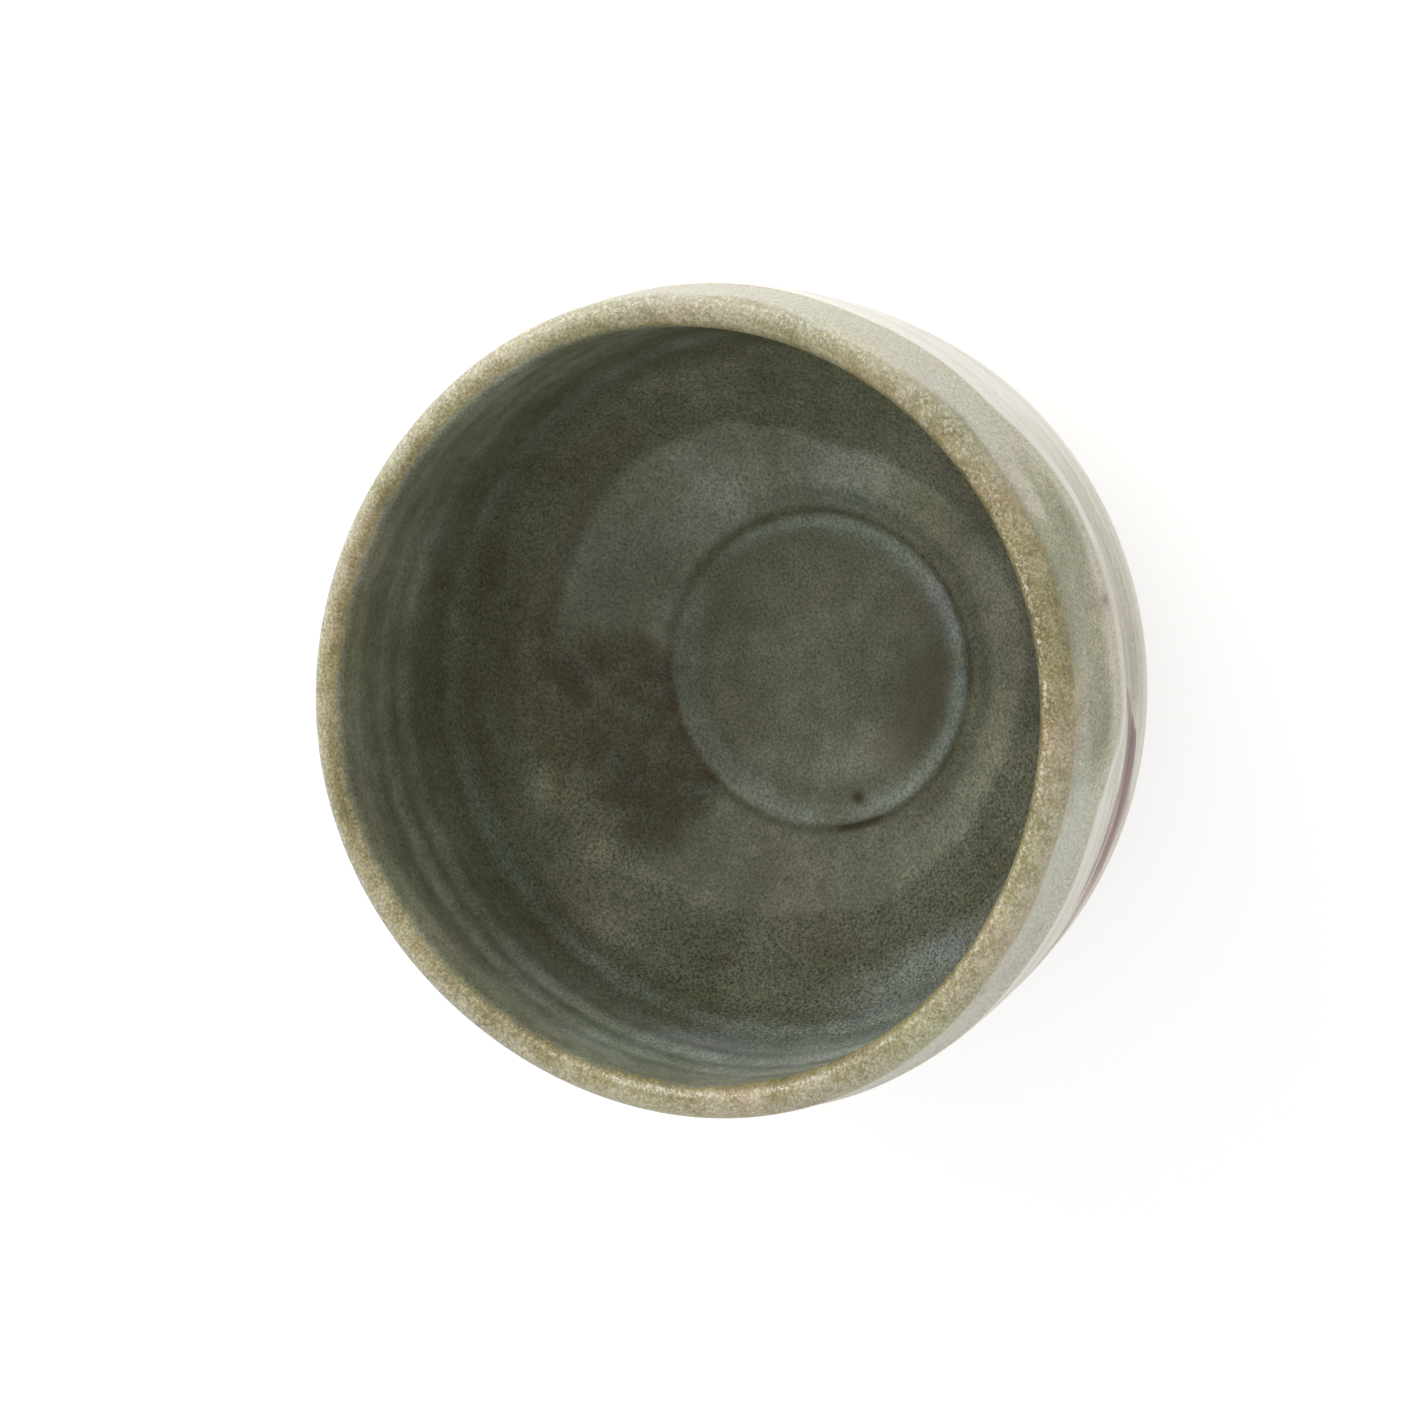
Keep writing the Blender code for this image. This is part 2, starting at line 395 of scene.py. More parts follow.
BODY_CLAY, FOOT_CLAY = ("b1906a", "94704c"), ("a98861", "8a6644")  # pale and toasted

# How the glaze lies at each point: how pale and thick, how milky, how far it has broken to tan, how
# frosted with crystals, how rusty with iron, and how strongly salted with ash
GLAZE_FIELDS = ("pale", "milk", "tan", "frost", "rust", "salt")

# The glaze's patterns. Ash grains and crystals are about 0.2 mm: these are drawn twice as coarse, to show
CLOUD_SIZE, BLOT_SIZE = 15 * MM, 3.4 * MM
GRAIN_SIZE, CRYSTAL_SIZE = 0.45 * MM, 0.55 * MM
# The brushwork's. The bristles' streaks run round the bowl, and specks of ash are drawn coarser, to show
STREAK_SIZE, WASH_SIZE, SPECK_SIZE = 18 * MM, 20 * MM, 0.8 * MM
# The bare clay's: where the kiln toasted it, its sand and grog, and the lines of the trimming tool
TOAST_SIZE, SAND_SIZE, GROG_SIZE, TRIMMING_SIZE = 28 * MM, 1.0 * MM, 1.1 * MM, 10 * MM


def make_ash_glaze():
    """Wood-ash glaze over iron-bearing stoneware, fired to a satin. It is a clear dark olive where it lies
    thin and a cloudy grey-green where it is thick, with milky blue veils. Over the lip it breaks through
    gold to tan and is frosted with fine crystals. Iron warms it in patches, and ash salts it all over."""
    material, tree, shader, place_on = new_material("wood_ash_glaze")
    pale, milk, tan, frost, rust, salt = (
        add(tree, "Attribute", attribute_name=name).outputs["Fac"] for name in GLAZE_FIELDS
    )
    cloud = add(tree, "TexNoise", (place_on, 1 / CLOUD_SIZE, 3.0))
    blot = add(tree, "TexNoise", (place_on, 1 / BLOT_SIZE, 3.0, 0.6))
    grain = add(tree, "TexNoise", (place_on, 1 / GRAIN_SIZE, 3.0, 0.75))
    crystal = add(tree, "TexNoise", (place_on, 1 / CRYSTAL_SIZE, 2.0, 0.7, 2.0, 0.8))

    # Clear where it is thin, milky where it is thick
    clouding = add(tree, "MapRange", (cloud, 0.3, 0.7, -0.08, 0.08))
    blotting = add(tree, "MapRange", (blot, 0.3, 0.7, -0.06, 0.06))
    level = add(tree, "Math", (pale, clouding), operation="ADD")
    level = add(tree, "Math", (level, blotting), operation="ADD")
    clear = add(tree, "ValToRGB", (level,), CLEAR_SHADES)
    milky = add(tree, "ValToRGB", (level,), MILKY_SHADES)
    veil = add(tree, "MapRange", (cloud, 0.35, 0.65, 0.5, 1.5), **SMOOTH)
    veil = add(tree, "Math", (milk, veil), operation="MULTIPLY")
    colour = add(tree, "Mix", (veil, clear, milky), **COLOUR)

    # Broken to tan over the lip, along ragged edges
    ragged = add(tree, "Mix", (0.5, grain.outputs[0], blot.outputs[0]))
    raggedness = add(tree, "MapRange", (ragged, 0.35, 0.65, 0.4, 1.6))
    breaking = add(tree, "Math", (tan, raggedness), operation="MULTIPLY")
    broken = add(tree, "MapRange", (breaking, 0.25, 0.6), **SMOOTH)
    mottling = add(tree, "MapRange", (ragged, 0.35, 0.65, -0.13, 0.13))
    tan_level = add(tree, "Math", (level, mottling), operation="ADD")
    tanned = add(tree, "ValToRGB", (tan_level,), TAN_SHADES)
    colour = add(tree, "Mix", (broken, colour, tanned), **COLOUR)

    # Iron, crystals and the grains of ash
    iron = add(tree, "MapRange", (grain, 0.38, 0.62, 0.3, 1.0), **SMOOTH)
    iron = add(tree, "Math", (iron, rust), operation="MULTIPLY")
    colour = add(tree, "Mix", (iron, colour, IRON_SHADE), **COLOUR)
    frosting = add(tree, "MapRange", (crystal, 0.46, 0.66), **SMOOTH)
    frosting = add(tree, "Math", (frosting, frost), operation="MULTIPLY")
    colour = add(tree, "Mix", (frosting, colour, CRYSTAL_SHADE), **COLOUR)
    tint = add(tree, "MapRange", (tan, 0.0, 1.0, 0.19, 0.26))
    salting = add(tree, "MapRange", (grain, 0.34, 0.66))
    colour = add(tree, "Mix", (tint, colour, grain.outputs["Color"]), blend_type="OVERLAY", **COLOUR)
    colour = add(tree, "Mix", (salt, colour, salting), blend_type="OVERLAY", **COLOUR)
    colour = add(tree, "Mix", (0.12, colour, cloud.outputs["Color"]), blend_type="OVERLAY", **COLOUR)

    roughness = add(tree, "MapRange", (grain, 0.3, 0.7, 0.38, 0.56))
    relief = add(tree, "Bump", {"Height": blot, "Distance": 0.05 * MM})
    relief = add(tree, "Bump", {"Height": grain, "Distance": 0.05 * MM, "Normal": relief})
    feed(tree, shader, {
        "Base Color": colour, "Roughness": roughness, "Normal": relief, "IOR": MATT_GLAZE_IOR,
        "Specular IOR Level": 0.35,
    })
    return material


def make_brushwork():
    """White slip laid on with a coarse brush, and plum colour brushed over it, under clear glaze. The slip
    streaks round the bowl and lets the clay show where it is thin. The plum is dense where the brush was
    loaded and a pink-brown wash where it ran dry."""
    material, tree, shader, place_on = new_material("brushed_slip_under_clear_glaze")
    cover, load = (add(tree, "Attribute", attribute_name=name).outputs["Fac"] for name in ("cover", "load"))
    brushed = add(tree, "Mapping", {"Vector": place_on, "Scale": (0.7, 0.7, 9)})
    streak = add(tree, "TexNoise", (brushed, 1 / STREAK_SIZE, 4.0, 0.6))
    cloud = add(tree, "TexNoise", (place_on, 1 / WASH_SIZE, 2.0))
    speck = add(tree, "TexNoise", (place_on, 1 / SPECK_SIZE, 2.0, 0.75))

    # The slip
    streaking = add(tree, "MapRange", (streak, 0.3, 0.7, -0.2, 0.2), **SMOOTH)
    clouding = add(tree, "MapRange", (cloud, 0.3, 0.7, -0.1, 0.1), **SMOOTH)
    level = add(tree, "Math", (cover, streaking), operation="ADD")
    level = add(tree, "Math", (level, clouding), operation="ADD")
    colour = add(tree, "ValToRGB", (level,), SLIP_SHADES)

    # The plum over it
    dragging = add(tree, "MapRange", (streak, 0.3, 0.7, -0.3, 0.3), **SMOOTH)
    painted = add(tree, "Math", (load, dragging), operation="ADD")
    plum = add(tree, "ValToRGB", (painted,), PLUM_SHADES)
    wash = add(tree, "MapRange", (painted, 0.05, 0.6, 0.0, 0.9), **SMOOTH)
    brush_reach = add(tree, "MapRange", (load, 0.0, 0.2), **SMOOTH)
    wash = add(tree, "Math", (wash, brush_reach), operation="MULTIPLY")
    colour = add(tree, "Mix", (wash, colour, plum), **COLOUR)

    colour = add(tree, "Mix", (0.15, colour, speck.outputs["Color"]), blend_type="OVERLAY", **COLOUR)
    speckling = add(tree, "MapRange", (speck, 0.3, 0.7))
    colour = add(tree, "Mix", (0.2, colour, speckling), blend_type="OVERLAY", **COLOUR)
    roughness = add(tree, "MapRange", (streak, 0.3, 0.7, 0.26, 0.36))
    relief = add(tree, "Bump", {"Height": streak, "Distance": 0.12 * MM})
    relief = add(tree, "Bump", {"Height": speck, "Distance": 0.03 * MM, "Normal": relief})
    feed(tree, shader, {
        "Base Color": colour, "Roughness": roughness, "Normal": relief, "IOR": GLASS_IOR,
        "Specular IOR Level": 0.2,
    })
    return material


def make_bare_clay(name, pale, toasted):
    """Unglazed stoneware: matt and sandy, toasted unevenly in the kiln, with grog and a few iron specks."""
    material, tree, shader, place_on = new_material(name)
    toast = add(tree, "TexNoise", (place_on, 1 / TOAST_SIZE, 2.0))
    sand = add(tree, "TexNoise", (place_on, 1 / SAND_SIZE, 3.0, 0.7))
    grog = add(tree, "TexNoise", (place_on, 1 / GROG_SIZE, 2.0))
    trimmed = add(tree, "Mapping", {"Vector": place_on, "Scale": (0.3, 0.3, 12)})
    trimming = add(tree, "TexNoise", (trimmed, 1 / TRIMMING_SIZE, 2.0))
    toasting = add(tree, "MapRange", (toast, 0.35, 0.65), **SMOOTH)
    colour = add(tree, "Mix", (toasting, pale, toasted), **COLOUR)
    for pattern, low, high, most, shade in (
        (sand, 0.46, 0.32, 0.6, SAND_SHADE),
        (grog, 0.62, 0.72, 0.5, PALE_GROG),
        (grog, 0.34, 0.28, 0.7, DARK_GROG),
    ):
        share = add(tree, "MapRange", (pattern, low, high, 0.0, most), **SMOOTH)
        colour = add(tree, "Mix", (share, colour, shade), **COLOUR)
    relief = add(tree, "Bump", {"Height": trimming, "Distance": 0.10 * MM})
    relief = add(tree, "Bump", {"Height": grog, "Distance": 0.08 * MM, "Normal": relief})
    relief = add(tree, "Bump", {"Height": sand, "Distance": 0.08 * MM, "Normal": relief})
    feed(tree, shader, {"Base Color": colour, "Roughness": 0.85, "Normal": relief})
    return material


# Pieces


def dress(piece, material, node):
    """Gives a piece its material, parents it to the root body, and hides the CAD part of the node it
    replaces.
    """
    piece.data.materials.append(material)
    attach(piece, "root")
    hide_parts(node)


# How pale the glaze is down the inner wall: mm down from the crest, and paleness. Its stripes are partly
# glaze pooled in the throwing rings and partly painted light and shade of the rings
WALL_PALENESS = (
    (0, 0.66), (8, 0.66), (10, 0.60), (12.5, 0.50), (14.5, 0.62), (16.5, 0.68), (18.5, 0.56), (20, 0.48),
    (22.5, 0.64), (24.5, 0.56), (26, 0.45), (28.5, 0.48), (30.5, 0.37), (33, 0.36), (34.5, 0.44),
    (36.5, 0.44), (39, 0.37), (45, 0.38), (52, 0.35), (60, 0.36),
)
# The upper edge of the pale glaze that settled on the floor: degrees, and mm down from the crest
FLOOR_EDGE = (
    (65, 53.2), (30, 53.0), (5, 54.5), (-12, 58.5), (-28, 61.0), (-60, 61.8), (-95, 61.0), (-124, 62.8),
    (-155, 61.8), (180, 59.6), (165, 57.8), (150, 57.0), (135, 55.8), (110, 54.0),
)
# Degrees, and paleness: of the floor, added to the hip above it, and of the outer half of the tea pool
FLOOR_PALENESS = (
    (45, 0.51), (25, 0.62), (0, 0.66), (-20, 0.69), (-50, 0.72), (-75, 0.69), (-120, 0.71), (180, 0.65),
    (135, 0.57),
)
HIP_PALENESS = (
    (-150, 0.12), (-45, 0.18), (0, 0.12), (30, 0.04), (60, -0.06), (90, 0.06), (120, 0.26), (150, 0.10),
)
POOL_PALENESS = (
    (-160, 0.69), (-120, 0.50), (-75, 0.54), (0, 0.52), (75, 0.46), (102, 0.53), (138, 0.72), (165, 0.72),
)
DRY_WEDGE = (64, 121)  # degrees between which the poured glaze missed the floor
# Spots inside: strength, degrees, mm down from the crest and mm wide
PALE_PATCHES = ((0.26, 97, 48.4, 3.0), (0.14, 112, 51, 2.6), (0.16, 79, 62.8, 2.6))
# Painted shade: two darker spots low on the side of the wall turned from the light
PAINTED_SHADE_SPOTS = ((0.04, 92, 56, 4.0), (0.06, 106, 62, 4.0))
IRON_FLECKS = ((0.7, 165, 63.5, 0.9), (0.7, 148, 49.0, 0.8), (0.7, 59, 71.4, 0.8), (0.7, 122, 66.0, 0.7))
POOL_DOWN = (CREST - POOL_RIM) / MM  # mm down from the crest to the tea pool's edge
IRON_RADIUS = 20.4 * MM  # where an iron spot melted, in the tea pool
IRON_DOWN = (CREST - np.interp(IRON_RADIUS, LINE[:CREST_INDEX, 0], LINE_AT[:CREST_INDEX])) / MM
# The tan glaze's edges on the lip: degrees, and mm outwards over the crest
TAN_INNER_EDGE = (
    (0, -1.8), (25, -1.7), (55, -1.9), (90, -1.9), (135, -2.3), (160, -2.8), (180, -3.8), (-135, -3.6),
    (-90, -3.6), (-50, -4.1), (-25, -3.8),
)
TAN_OUTER_EDGE = (
    (-135, 3.4), (-97, 4.0), (-82, 3.4), (-68, 2.8), (-45, 2.2), (0, 2.6), (90, 3.2), (180, 3.8),
)
# Degrees, and the paleness of the lip
LIP_PALENESS = (
    (-140, 0.86), (-120, 0.80), (-100, 0.64), (-80, 0.69), (-60, 0.81), (-40, 0.93), (-20, 0.99), (0, 0.98),
    (20, 0.88), (45, 0.90), (60, 0.83), (90, 0.81), (120, 0.84), (150, 0.83), (180, 0.84),
)
# How strongly a thin white line stands along the lip's inner side: crystals, with a painted highlight where
# the edge faces the light
RIDGE_FROST_AND_HIGHLIGHT = (
    (-165, 0.7), (-140, 0.7), (-100, 0.6), (-80, 0.4), (-60, 0.4), (-20, 0.3), (20, 0.1), (60, 0.1),
    (90, 0.3), (120, 0.3), (140, 0.6), (158, 1.5), (178, 1.1),
)
# The lip's other crystals: how strong they are, and how many mm outwards over the crest they lie
FROST_STRENGTH = ((-90, 0.42), (-30, 0.65), (30, 0.55), (90, 0.6), (150, 0.40), (-150, 0.40))
FROST_MIDDLE = ((-90, -0.9), (-45, 1.5), (0, 2.0), (90, 2.4), (150, 1.0), (-160, 0.2))
# Degrees, and paleness of the poured coat outside; between -62 and -15 degrees it is paler, partly a
# painted light
OUTER_PALENESS = (
    (-135, 1.02), (-105, 0.83), (-80, 0.84), (-62, 1.05), (-40, 1.05), (-15, 1.05), (40, 0.88), (100, 0.85),
    (160, 0.93),
)


def spot(angle, along, at_deg, down, size):
    """1 at a place on the inside, falling away over about the size, in mm."""
    aside = np.radians(turn_from(angle, at_deg)) * on_line(along)[0] / MM
    return hump(np.hypot(aside, (CREST - along) / MM - down), 0, size)


def spots(angle, along, places):
    """Several such places, each with its strength."""
    return sum(strength * spot(angle, along, *where) for strength, *where in places)


def painted_light_and_sheen(angle, down):
    """1 where painted light lies high on the lit side of the wall, and painted sheen on the hip below it.
    """
    upper = between(angle, 138, -125, 28) * step(4, 12, down) * (1 - step(30, 38, down))
    lower = between(angle, 172, -125, 18) * step(30, 38, down) * (1 - step(46, 53, down))
    return upper + lower


def wall_paleness(angle, down):
    """The inner wall: striped by the throwing rings, with painted light and sheen on its lit side, painted
    shade opposite, and dull in places.
    """
    dull = between(angle, 14, 48, 12) + between(angle, 114, 170, 14)
    dull = dull * step(13, 18, down) * (1 - step(26, 32, down))
    # Painted light and sheen: paler on the side of the wall that faces the light
    wall = np.interp(down, *np.array(WALL_PALENESS).T) + 0.15 * painted_light_and_sheen(angle, down) - 0.05 * dull
    # Painted shade low on the side turned from the light, and painted light on the hip of the side that
    # faces it
    wall = wall - 0.10 * between(angle, 50, 112, 10) * step(38, 41, down) * (1 - step(46, 50, down))
    wall = wall + 0.09 * between(angle, 125, 175, 12) * hump(down, 37.5, 2.5)
    wall = wall + ring_of(HIP_PALENESS, angle) * step(38, 44, down)
    return wall + 0.08 * between(angle, 100, 128, 8) * (1 - step(6, 12, down))


def dry_wedge(angle, along):
    """1 in the wedge that the poured glaze missed, with frayed sides."""
    frayed = waver(angle, along, 33, 0.05, lobes=3) + waver(angle, along, 36, 0.03, lobes=5, length=7 * MM)
    return between(angle + frayed, *DRY_WEDGE, 6)


def floor_paleness(angle, along, wedge):
    """The floor: pale where the glaze settled, and thin and dark in the wedge."""
    bare = 0.17 + waver(angle, along, 34, 0.06, lobes=9, length=12 * MM)
    return ring_of(FLOOR_PALENESS, angle) * (1 - wedge) + bare * wedge


def painted_edge_shadow(angle, down):
    """How strongly a painted shadow line runs just outside the tea pool's raised edge, unevenly round it;
    the glaze there is browned with iron too.
    """
    edge = hump(down, POOL_DOWN - 0.4, 0.7) * (0.75 + waver(angle, 0, 32, 0.25, lobes=13))
    return edge * (1 - 0.6 * between(angle, 135, 168, 10) - 0.4 * between(angle, 40, 120, 12))


def milky_ring_with_painted_light(angle, down):
    """How milky the glaze lies where it pooled inside the tea pool's edge, its strength round the pool a
    painted light, highlight and shade.
    """
    # Painted light and highlight on the lit side, painted shade on the side turned from the light
    ring = 1.3 * between(angle, -165, 20, 20) + 0.2 * between(angle, 130, -165, 15)
    return hump(down, POOL_DOWN + 1.8, 1.3) * (ring - 0.9 * between(angle, 62, 128, 15))


def pool_paleness(angle, radius, ring):
    """The tea pool: even in the middle, uneven towards its edge, pale in the milky ring and darker in a
    ring of painted shade.
    """
    toward_edge = step(8, 15, radius)
    # The milky ring's painted light and highlight make the pool's edge paler
    pool = 0.57 * (1 - toward_edge) + ring_of(POOL_PALENESS, angle) * toward_edge + 0.12 * ring
    # Painted shade: a darker ring 19 mm out, round most of the pool, the shade of a shallow moat
    return pool - 0.09 * hump(radius, 19.0, 1.5) * between(angle, 40, -60, 25)


def glaze_inside(angle, along):
    """Paleness, milkiness, rust and salt of the glaze on the inside."""
    down, radius = (CREST - along) / MM, on_line(along)[0] / MM
    wedge = dry_wedge(angle, along)
    edge = ring_of(FLOOR_EDGE, angle) + waver(angle, along, 31, 0.6, lobes=15)
    on_floor = step(-0.8 - 2 * wedge, 1.6 + 5 * wedge, down - edge)
    in_pool = step(POOL_DOWN - 0.6, POOL_DOWN + 0.8, down)
    on_wedge = wedge * step(44, 54, down) * (1 - in_pool)
    patchy = 1.6 * waver(angle, along, 37, 1.0, lobes=43, length=5 * MM) * on_wedge
    pool_edge_shadow, ring = painted_edge_shadow(angle, down), milky_ring_with_painted_light(angle, down)
    iron = spot(angle, along, 180, IRON_DOWN, 0.8)
    slit = between(angle, 171, 187, 2) * hump(down, POOL_DOWN - 0.2, 0.5)

    # Paleness
    patch = spots(angle, along, PALE_PATCHES) + 0.05 * between(angle, 70, 172, 12) * hump(down, 57, 3)
    pale = wall_paleness(angle, down) * (1 - on_floor) + floor_paleness(angle, along, wedge) * on_floor
    # Pale patches, less the painted shade spots
    pale = pale + patch - spots(angle, along, PAINTED_SHADE_SPOTS)
    # Less the painted shadow line along the pool's edge
    pale = pale * (1 - in_pool) + pool_paleness(angle, radius, ring) * in_pool - 0.30 * pool_edge_shadow
    pale = pale - 0.20 * hump(down, POOL_DOWN - 2.6, 1.6) * between(angle, -165, 0, 25)
    pale = pale + 0.03 * patchy - 0.5 * iron - 0.4 * slit

    # Milkiness
    # Painted sheen and light: milkier on the side of the wall that faces the light
    milk = 0.2 + 0.12 * (1 - step(26, 34, down)) + 0.6 * painted_light_and_sheen(angle, down) + 0.45 * hump(down, 36.3, 1.6)
    # The milky ring's painted light and highlight, as milkiness
    milk = milk + 0.6 * np.clip(ring, 0, 1) * in_pool
    milk = milk + 0.2 * between(angle, 120, -170, 30) * step(5, 12, radius) * in_pool
    milk = milk + 0.25 * hump(down, POOL_DOWN + 2.5, 2.0) * in_pool
    milk = milk + 0.35 * between(angle, -40, 62, 15) * on_floor * (1 - in_pool)
    milk = milk * (1 - on_wedge) - 0.2 * between(angle, 40, 130, 20) * (1 - step(6, 12, down))
    milk = milk + 0.22 * np.clip(patchy, 0, 1)

    # Rust
    warm = step(12, 15, radius) * (1 - step(20, 22, radius)) * hump(turn_from(angle, -122), 0, 38) * in_pool
    stain = np.clip(waver(angle, along, 35, 1, lobes=11, length=11 * MM), 0, 1) * step(34, 44, down)
    # Browned with iron along the pool's edge, under its painted shadow line
    rust = 0.3 * pool_edge_shadow + 0.02 * on_wedge + 0.5 * warm + 0.2 * patch + 0.12 * stain
    rust = rust + 0.35 * np.clip(-patchy, 0, 1) + spots(angle, along, IRON_FLECKS)
    rust = rust + 0.9 * iron + 0.3 * spot(angle, along, 180, IRON_DOWN, 2.2) + 0.8 * slit

    # Salt
    bottom = between(angle, 130, -120, 25)
    salt = 0.44 + (0.10 + 0.25 * bottom) * step(26, 38, down) - (0.05 + 0.25 * bottom) * on_floor
    return pale, milk, rust, salt + 0.3 * on_wedge


def glaze_outside(angle, along):
    """Paleness, milkiness, rust and salt of the glaze on the outside."""
    out = (along - CREST) / MM
    share = np.clip((along - LIP_END) / (poured_edge(angle) - LIP_END), 0, 1)
    blue_side, cool_top = between(angle, 150, -112, 12), between(angle, -36, 100, 12)
    milk = 0.06 + (0.12 + 0.25 * blue_side) * hump(out, 8.0, 2.6) + 0.28 * blue_side + 0.09 * cool_top
    milk = milk * (1 - 0.85 * step(0.45, 0.85, share) * (1 - 0.8 * blue_side))
    pale = ring_of(OUTER_PALENESS, angle) + 0.05 * hump(out, 7.8, 2.0) + 0.17 * step(0.5, 0.95, share)
    rust = 0.08 * (1 - blue_side)
    rust = rust + 0.9 * hump(turn_from(angle, -92), 0, 0.9) * hump(out, LIP_EDGE / MM + 15.8, 1.4)
    return pale, milk, rust, np.full(np.shape(angle), 0.46)


def lip_tone(angle, out):
    """How pale the tan on the lip is: darker on the inside of the crest than on the outside."""
    tone = ring_of(LIP_PALENESS, angle) + 0.26 * (step(-2.5, 2.5, out) - 0.5)
    tone = tone - 0.10 * hump(out, -1.3, 1.2) * between(angle, 25, 100, 15)
    return tone + 0.08 * step(1, 2.5, out) * between(angle, -86, -50, 12)


def pour_glaze(mesh, angle, along):
    """Sets on a coat how the glaze lies at each point: one rule for the inside, the lip and the outside."""
    out = (along - CREST) / MM
    outside = step(-1, 1, out)
    layers = zip(glaze_inside(angle, along), glaze_outside(angle, along))
    pale, milk, rust, salt = (a * (1 - outside) + b * outside for a, b in layers)
    ragged = waver(angle, along, 41, 0.35, lobes=23, length=6 * MM)
    inner, outer = ring_of(TAN_INNER_EDGE, angle) + ragged, ring_of(TAN_OUTER_EDGE, angle) + 1.5 * ragged
    tan = step(-1.0, 1.6, out - inner) * (1 - step(-1.6, 1.4, out - outer))
    # A thin white line along the lip's inner side: crystals, and a painted highlight
    ridge_at = -1.4 + waver(angle, 0, 42, 0.25, lobes=5)
    ridge = ring_of(RIDGE_FROST_AND_HIGHLIGHT, angle) * hump(out, ridge_at, 0.42)
    pale = (pale - 0.16 * hump(out, -2.9, 1.0)) * (1 - tan) + (lip_tone(angle, out) + 0.12 * ridge) * tan
    pale = pale - 0.12 * hump(out, outer + 0.3, 0.7) * between(angle, -90, -55, 10)
    frost = ring_of(FROST_STRENGTH, angle) * hump(out, ring_of(FROST_MIDDLE, angle), 1.6) + 0.12 * outside
    salt = salt * (1 - (0.3 + 0.25 * between(angle, 140, -30, 20)) * hump(out, 0, 4))
    for name, values in zip(GLAZE_FIELDS, (pale, milk, tan, frost + ridge, rust, salt)):
        set_field(mesh, name, values)


def glaze_coat(glaze, piece, node):
    """A coat that follows the finished line as it is, over the inside or the lip."""
    mesh = piece.data
    angle, along, depth = on_bowl(mesh)
    pour_glaze(mesh, angle, along)
    move_points(mesh, place(angle, along, depth))
    dress(piece, glaze, node)


# The poured glaze's lower edge outside, and the glaze line above the foot: degrees, and height in mm
POURED_EDGE = (
    (-180, 58), (-152, 59), (-122, 58.5), (-107, 51.2), (-78, 51), (-60, 57.2), (-40, 58.6), (-15, 57.5),
    (15, 52.5), (60, 56), (105, 53), (145, 57),
)
GLAZE_LINE = ((-170, 14.5), (-120, 13.2), (-75, 15.3), (-30, 13.6), (20, 14.6), (75, 12.9), (130, 14.2))
# How high the coats swell on both sides of the poured edge, and how far from it
BEAD, BEAD_FROM_EDGE = 0.22 * MM, 1.1 * MM


def poured_edge(angle):
    """Distance along the line to where the poured coat ends."""
    return outside_at_height(ring_of(POURED_EDGE, angle) * MM) + waver(angle, 0, 21, 0.5 * MM, lobes=17)


def glaze_line(angle):
    """Distance along the line to where the glaze stops above the foot."""
    return outside_at_height(ring_of(GLAZE_LINE, angle) * MM) + waver(angle, 0, 22, 0.4 * MM, lobes=23)


def make_outside(glaze):
    """The poured coat. Its rows spread from the lip down to its edge, which rises and falls."""
    length = 15 * MM
    piece = spun_coat("fired_outside", LIP_END, LIP_END + length)
    mesh = piece.data
    angle, along, depth = on_bowl(mesh)
    edge = poured_edge(angle)
    along = LIP_END + (along - LIP_END) / length * (edge - LIP_END)
    bead = BEAD * hump(edge - along, BEAD_FROM_EDGE, 0.9 * MM) * (1 - depth / COAT)
    pour_glaze(mesh, angle, along)
    move_points(mesh, place(angle, along, depth - bead))
    dress(piece, glaze, "outer_glaze")


def slip_cover(angle, along):
    """How thick and pale the slip lies: thickest along the poured edge, thin by the foot, lower in a patch,
    and painted paler between -68 and -15 degrees, a painted light.
    """
    height = on_line(along)[1] / MM
    line = hump(along - poured_edge(angle), BEAD_FROM_EDGE, 0.6 * MM)
    frayed = waver(angle, along, 53, 0.07, lobes=4, length=2.5 * MM)
    grey_patch = between(angle + frayed, -110, -69, 9) * step(32, 36, height) * (1 - step(49, 51, height))
    low = 1 - step(16, 22, height + waver(angle, along, 52, 3.0, lobes=7))
    # Painted light: paler slip between -68 and -15 degrees; thicker along the poured edge
    thick_edge_and_painted_light = 0.10 * between(angle, -68, -15, 12) + 0.35 * line
    return 0.80 + waver(angle, along, 51, 0.10, lobes=6, length=30 * MM) + thick_edge_and_painted_light - 0.38 * grey_patch - 0.35 * low


def make_slip_band(brushwork):
    """The slip coat, from the poured edge down to the glaze line, where it rounds off onto bare clay."""
    length = 38 * MM
    piece = spun_coat("fired_slip", LIP_END, LIP_END + length)
    mesh = piece.data
    angle, along, depth = on_bowl(mesh)
    top, bottom = poured_edge(angle), glaze_line(angle)
    along = top + (along - LIP_END) / length * (bottom - top)
    on_face = 1 - depth / COAT
    near_end = 1 - np.clip((bottom - along) / (1.1 * MM), 0, 1)
    rounding = 0.9 * COAT * (1 - np.sqrt(1 - near_end**2))
    ridge = BEAD * hump(along - top, BEAD_FROM_EDGE, 0.8 * MM)
    set_field(mesh, "cover", slip_cover(angle, along))
    move_points(mesh, place(angle, along, depth + (rounding - ridge) * on_face))
    dress(piece, brushwork, "slip_coat")


PLUM_FILM = 0.15 * MM
